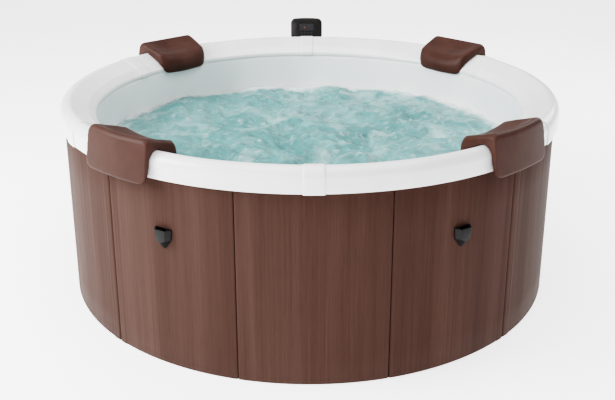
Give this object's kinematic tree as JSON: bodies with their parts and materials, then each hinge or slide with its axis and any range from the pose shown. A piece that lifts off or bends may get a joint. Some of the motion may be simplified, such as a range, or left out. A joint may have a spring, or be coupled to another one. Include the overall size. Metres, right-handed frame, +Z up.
{
  "type": "portable hot tub",
  "caption": "Round portable hot tub with a panelled wood-grain wall, a thick white rim, clip-over headrests and a pump unit standing behind.",
  "frame": {"origin": "on the floor, at the tub's axis", "axes": "+Z up; the front of the tub faces -Y and the pump unit stands at +Y"},
  "size_m": [1.8498, 2.1366, 0.7943],
  "materials": {
    "wood_grain_panel": "satin wood-grain laminate",
    "foam_core": "matte foam",
    "liner_white": "satin vinyl",
    "foam_mat": "matte foam",
    "rim_white": "glossy coated foam",
    "headrest_brown": "soft satin skin",
    "black_plastic": "fine texture",
    "dark_plastic": "fine texture",
    "casing_grey": "fine texture",
    "white_fitting": "moulded",
    "filter_paper": "pleated",
    "steel": "brushed",
    "motor_metal": "cast and painted",
    "black_rubber": "smooth",
    "circuit_green": "coated board",
    "display_glass": "tinted",
    "button_grey": "satin"
  },
  "bodies": {
    "tub": {"wall_panel_1": "wood_grain_panel", "wall_panel_2": "wood_grain_panel", "wall_panel_3": "wood_grain_panel", "wall_panel_4": "wood_grain_panel", "wall_panel_5": "wood_grain_panel", "wall_panel_6": "wood_grain_panel", "wall_panel_7": "wood_grain_panel", "wall_panel_8": "wood_grain_panel", "wall_panel_9": "wood_grain_panel", "wall_panel_10": "wood_grain_panel", "wall_panel_11": "wood_grain_panel", "wall_panel_12": "wood_grain_panel", "core_boards": "foam_core", "liner": "liner_white", "floor_mat": "foam_mat", "rim_sleeves": "rim_white", "cover_sockets": "black_plastic", "bubble_ring": "liner_white", "suction_fitting": "white_fitting", "return_fitting": "white_fitting", "air_fitting": "white_fitting", "fitting_nuts": "white_fitting", "drain_valve": "white_fitting", "unit_base": "dark_plastic", "unit_shell": "casing_grey", "display_head": "black_plastic", "display_window": "display_glass", "pump_volute": "dark_plastic", "pump_motor": "motor_metal", "heater": "steel", "pump_hose": "black_rubber", "return_hose": "black_rubber", "mounting_plate": "steel", "blower_housing": "dark_plastic", "air_hose": "black_rubber", "control_box": "dark_plastic", "control_board": "circuit_green", "power_gland": "black_plastic", "rim_segment_1": "rim_white", "rim_segment_2": "rim_white", "rim_segment_3": "rim_white", "rim_segment_4": "rim_white", "rim_segment_5": "rim_white", "rim_segment_6": "rim_white"},
    "headrest_1": {"headrest_1": "headrest_brown"},
    "headrest_2": {"headrest_2": "headrest_brown"},
    "headrest_3": {"headrest_3": "headrest_brown"},
    "headrest_4": {"headrest_4": "headrest_brown"},
    "filter": {"filter_cartridge": "filter_paper"},
    "filter_cap": {"filter_cap": "white_fitting"},
    "drain_cap": {"drain_cap": "dark_plastic"},
    "suction_nut": {"union_nut_suction": "dark_plastic"},
    "return_nut": {"union_nut_return": "dark_plastic"},
    "impeller": {"pump_impeller": "white_fitting"},
    "blower_rotor": {"blower_fan": "white_fitting"},
    "service_door": {"service_door": "casing_grey"},
    "button_1": {"button_1": "button_grey"},
    "button_2": {"button_2": "button_grey"},
    "button_3": {"button_3": "button_grey"},
    "button_4": {"button_4": "button_grey"}
  },
  "joints": [
    {"name": "headrest_1_lift", "type": "slide", "parent": "tub", "child": "headrest_1", "axis": [0, 0, 1], "range_m": [0, 0.15]},
    {"name": "headrest_2_lift", "type": "slide", "parent": "tub", "child": "headrest_2", "axis": [0, 0, 1], "range_m": [0, 0.15]},
    {"name": "headrest_3_lift", "type": "slide", "parent": "tub", "child": "headrest_3", "axis": [0, 0, 1], "range_m": [0, 0.15]},
    {"name": "headrest_4_lift", "type": "slide", "parent": "tub", "child": "headrest_4", "axis": [0, 0, 1], "range_m": [0, 0.15]},
    {"name": "filter_pull", "type": "slide", "parent": "tub", "child": "filter", "axis": [0, -1, 0], "range_m": [0, 0.15]},
    {"name": "filter_cap_turn", "type": "hinge", "parent": "filter", "child": "filter_cap", "pos_m": [-0.06, 0.73, 0.15], "axis": [0, -1, 0], "range_deg": [0, 30]},
    {"name": "drain_cap_turn", "type": "hinge", "parent": "tub", "child": "drain_cap", "pos_m": [0.465, 0.8054, 0.05], "axis": [0.5, 0.866, 0], "continuous": true},
    {"name": "suction_nut_turn", "type": "hinge", "parent": "tub", "child": "suction_nut", "pos_m": [-0.06, 0.93, 0.15], "axis": [0, 1, 0], "continuous": true},
    {"name": "return_nut_turn", "type": "hinge", "parent": "tub", "child": "return_nut", "pos_m": [0.06, 0.93, 0.15], "axis": [0, 1, 0], "continuous": true},
    {"name": "impeller_spin", "type": "hinge", "parent": "tub", "child": "impeller", "pos_m": [-0.06, 1.005, 0.15], "axis": [0, 1, 0], "continuous": true},
    {"name": "blower_spin", "type": "hinge", "parent": "tub", "child": "blower_rotor", "pos_m": [0.12, 1.11, 0.3], "axis": [1, 0, 0], "continuous": true},
    {"name": "service_door_swing", "type": "hinge", "parent": "tub", "child": "service_door", "pos_m": [-0.147, 1.202, 0.3], "axis": [0, 0, 1], "range_deg": [0, 110]},
    {"name": "button_1_press", "type": "slide", "parent": "tub", "child": "button_1", "axis": [0, 0.9703, -0.2419], "range_m": [0, 0.0015], "stiffness_N_per_m": 400},
    {"name": "button_2_press", "type": "slide", "parent": "tub", "child": "button_2", "axis": [0, 0.9703, -0.2419], "range_m": [0, 0.0015], "stiffness_N_per_m": 400},
    {"name": "button_3_press", "type": "slide", "parent": "tub", "child": "button_3", "axis": [0, 0.9703, -0.2419], "range_m": [0, 0.0015], "stiffness_N_per_m": 400},
    {"name": "button_4_press", "type": "slide", "parent": "tub", "child": "button_4", "axis": [0, 0.9703, -0.2419], "range_m": [0, 0.0015], "stiffness_N_per_m": 400}
  ]
}
